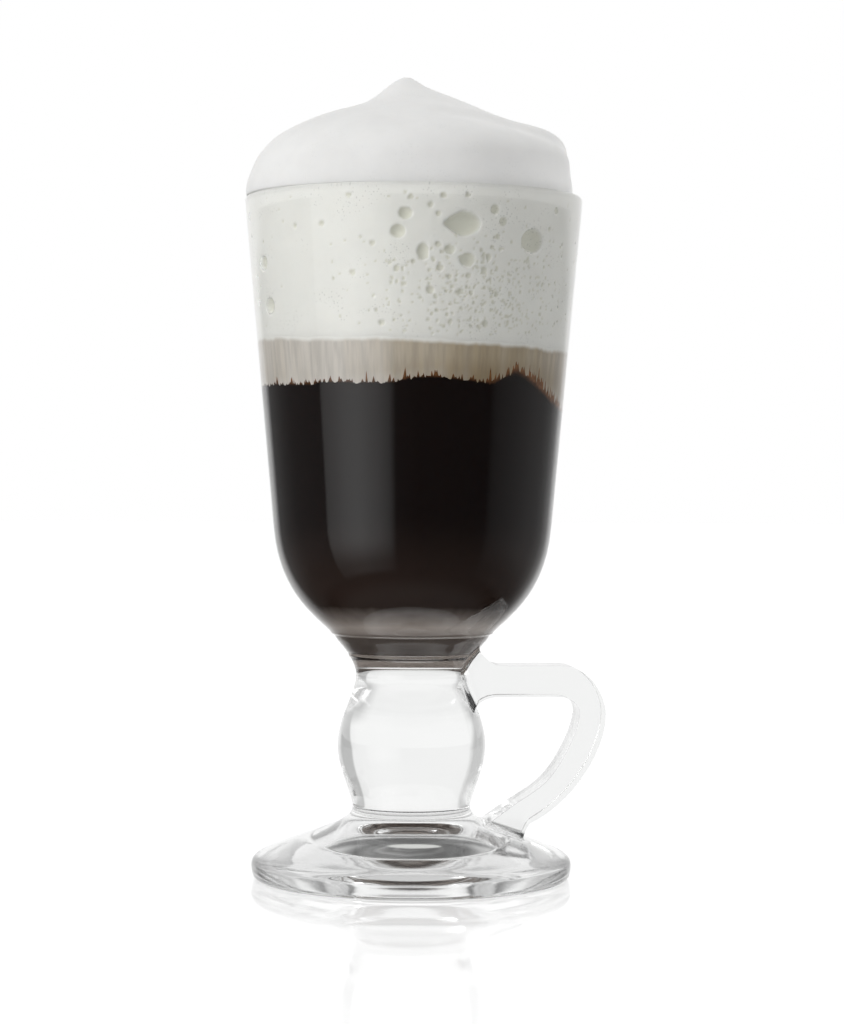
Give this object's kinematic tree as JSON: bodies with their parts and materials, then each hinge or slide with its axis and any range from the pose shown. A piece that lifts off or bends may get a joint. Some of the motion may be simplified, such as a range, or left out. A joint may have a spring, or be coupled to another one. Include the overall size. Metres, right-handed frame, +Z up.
{
  "type": "irish coffee glass mug",
  "caption": "Tall footed glass mug with a strap handle on its stem, filled with layered hot coffee, cream and a domed crown of milk foam.",
  "frame": {"origin": "centre of the foot's rest ring, on the table plane and on the mug's axis", "axes": "+Z up along the mug's axis, +X towards the handle; the handle lies in the XZ plane"},
  "size_m": [0.0795, 0.0742, 0.1764],
  "materials": {
    "clear_glass": "fire-polished clear soda-lime glass with a faint grey-green tint",
    "coffee": "near-black coffee, brown where it thins, stands for a liquid",
    "stained_cream": "cream stained tan by coffee, with fine upright streaks",
    "milk_foam": "fine white milk foam with bubbles against the glass",
    "foam_crown": "smooth soft white foam with a folded peak"
  },
  "bodies": {
    "root": {"bowl": "clear_glass", "stem": "clear_glass", "foot": "clear_glass", "handle": "clear_glass", "coffee": "coffee", "stained_cream": "stained_cream", "milk_foam": "milk_foam", "foam_crown": "foam_crown"}
  },
  "joints": []
}
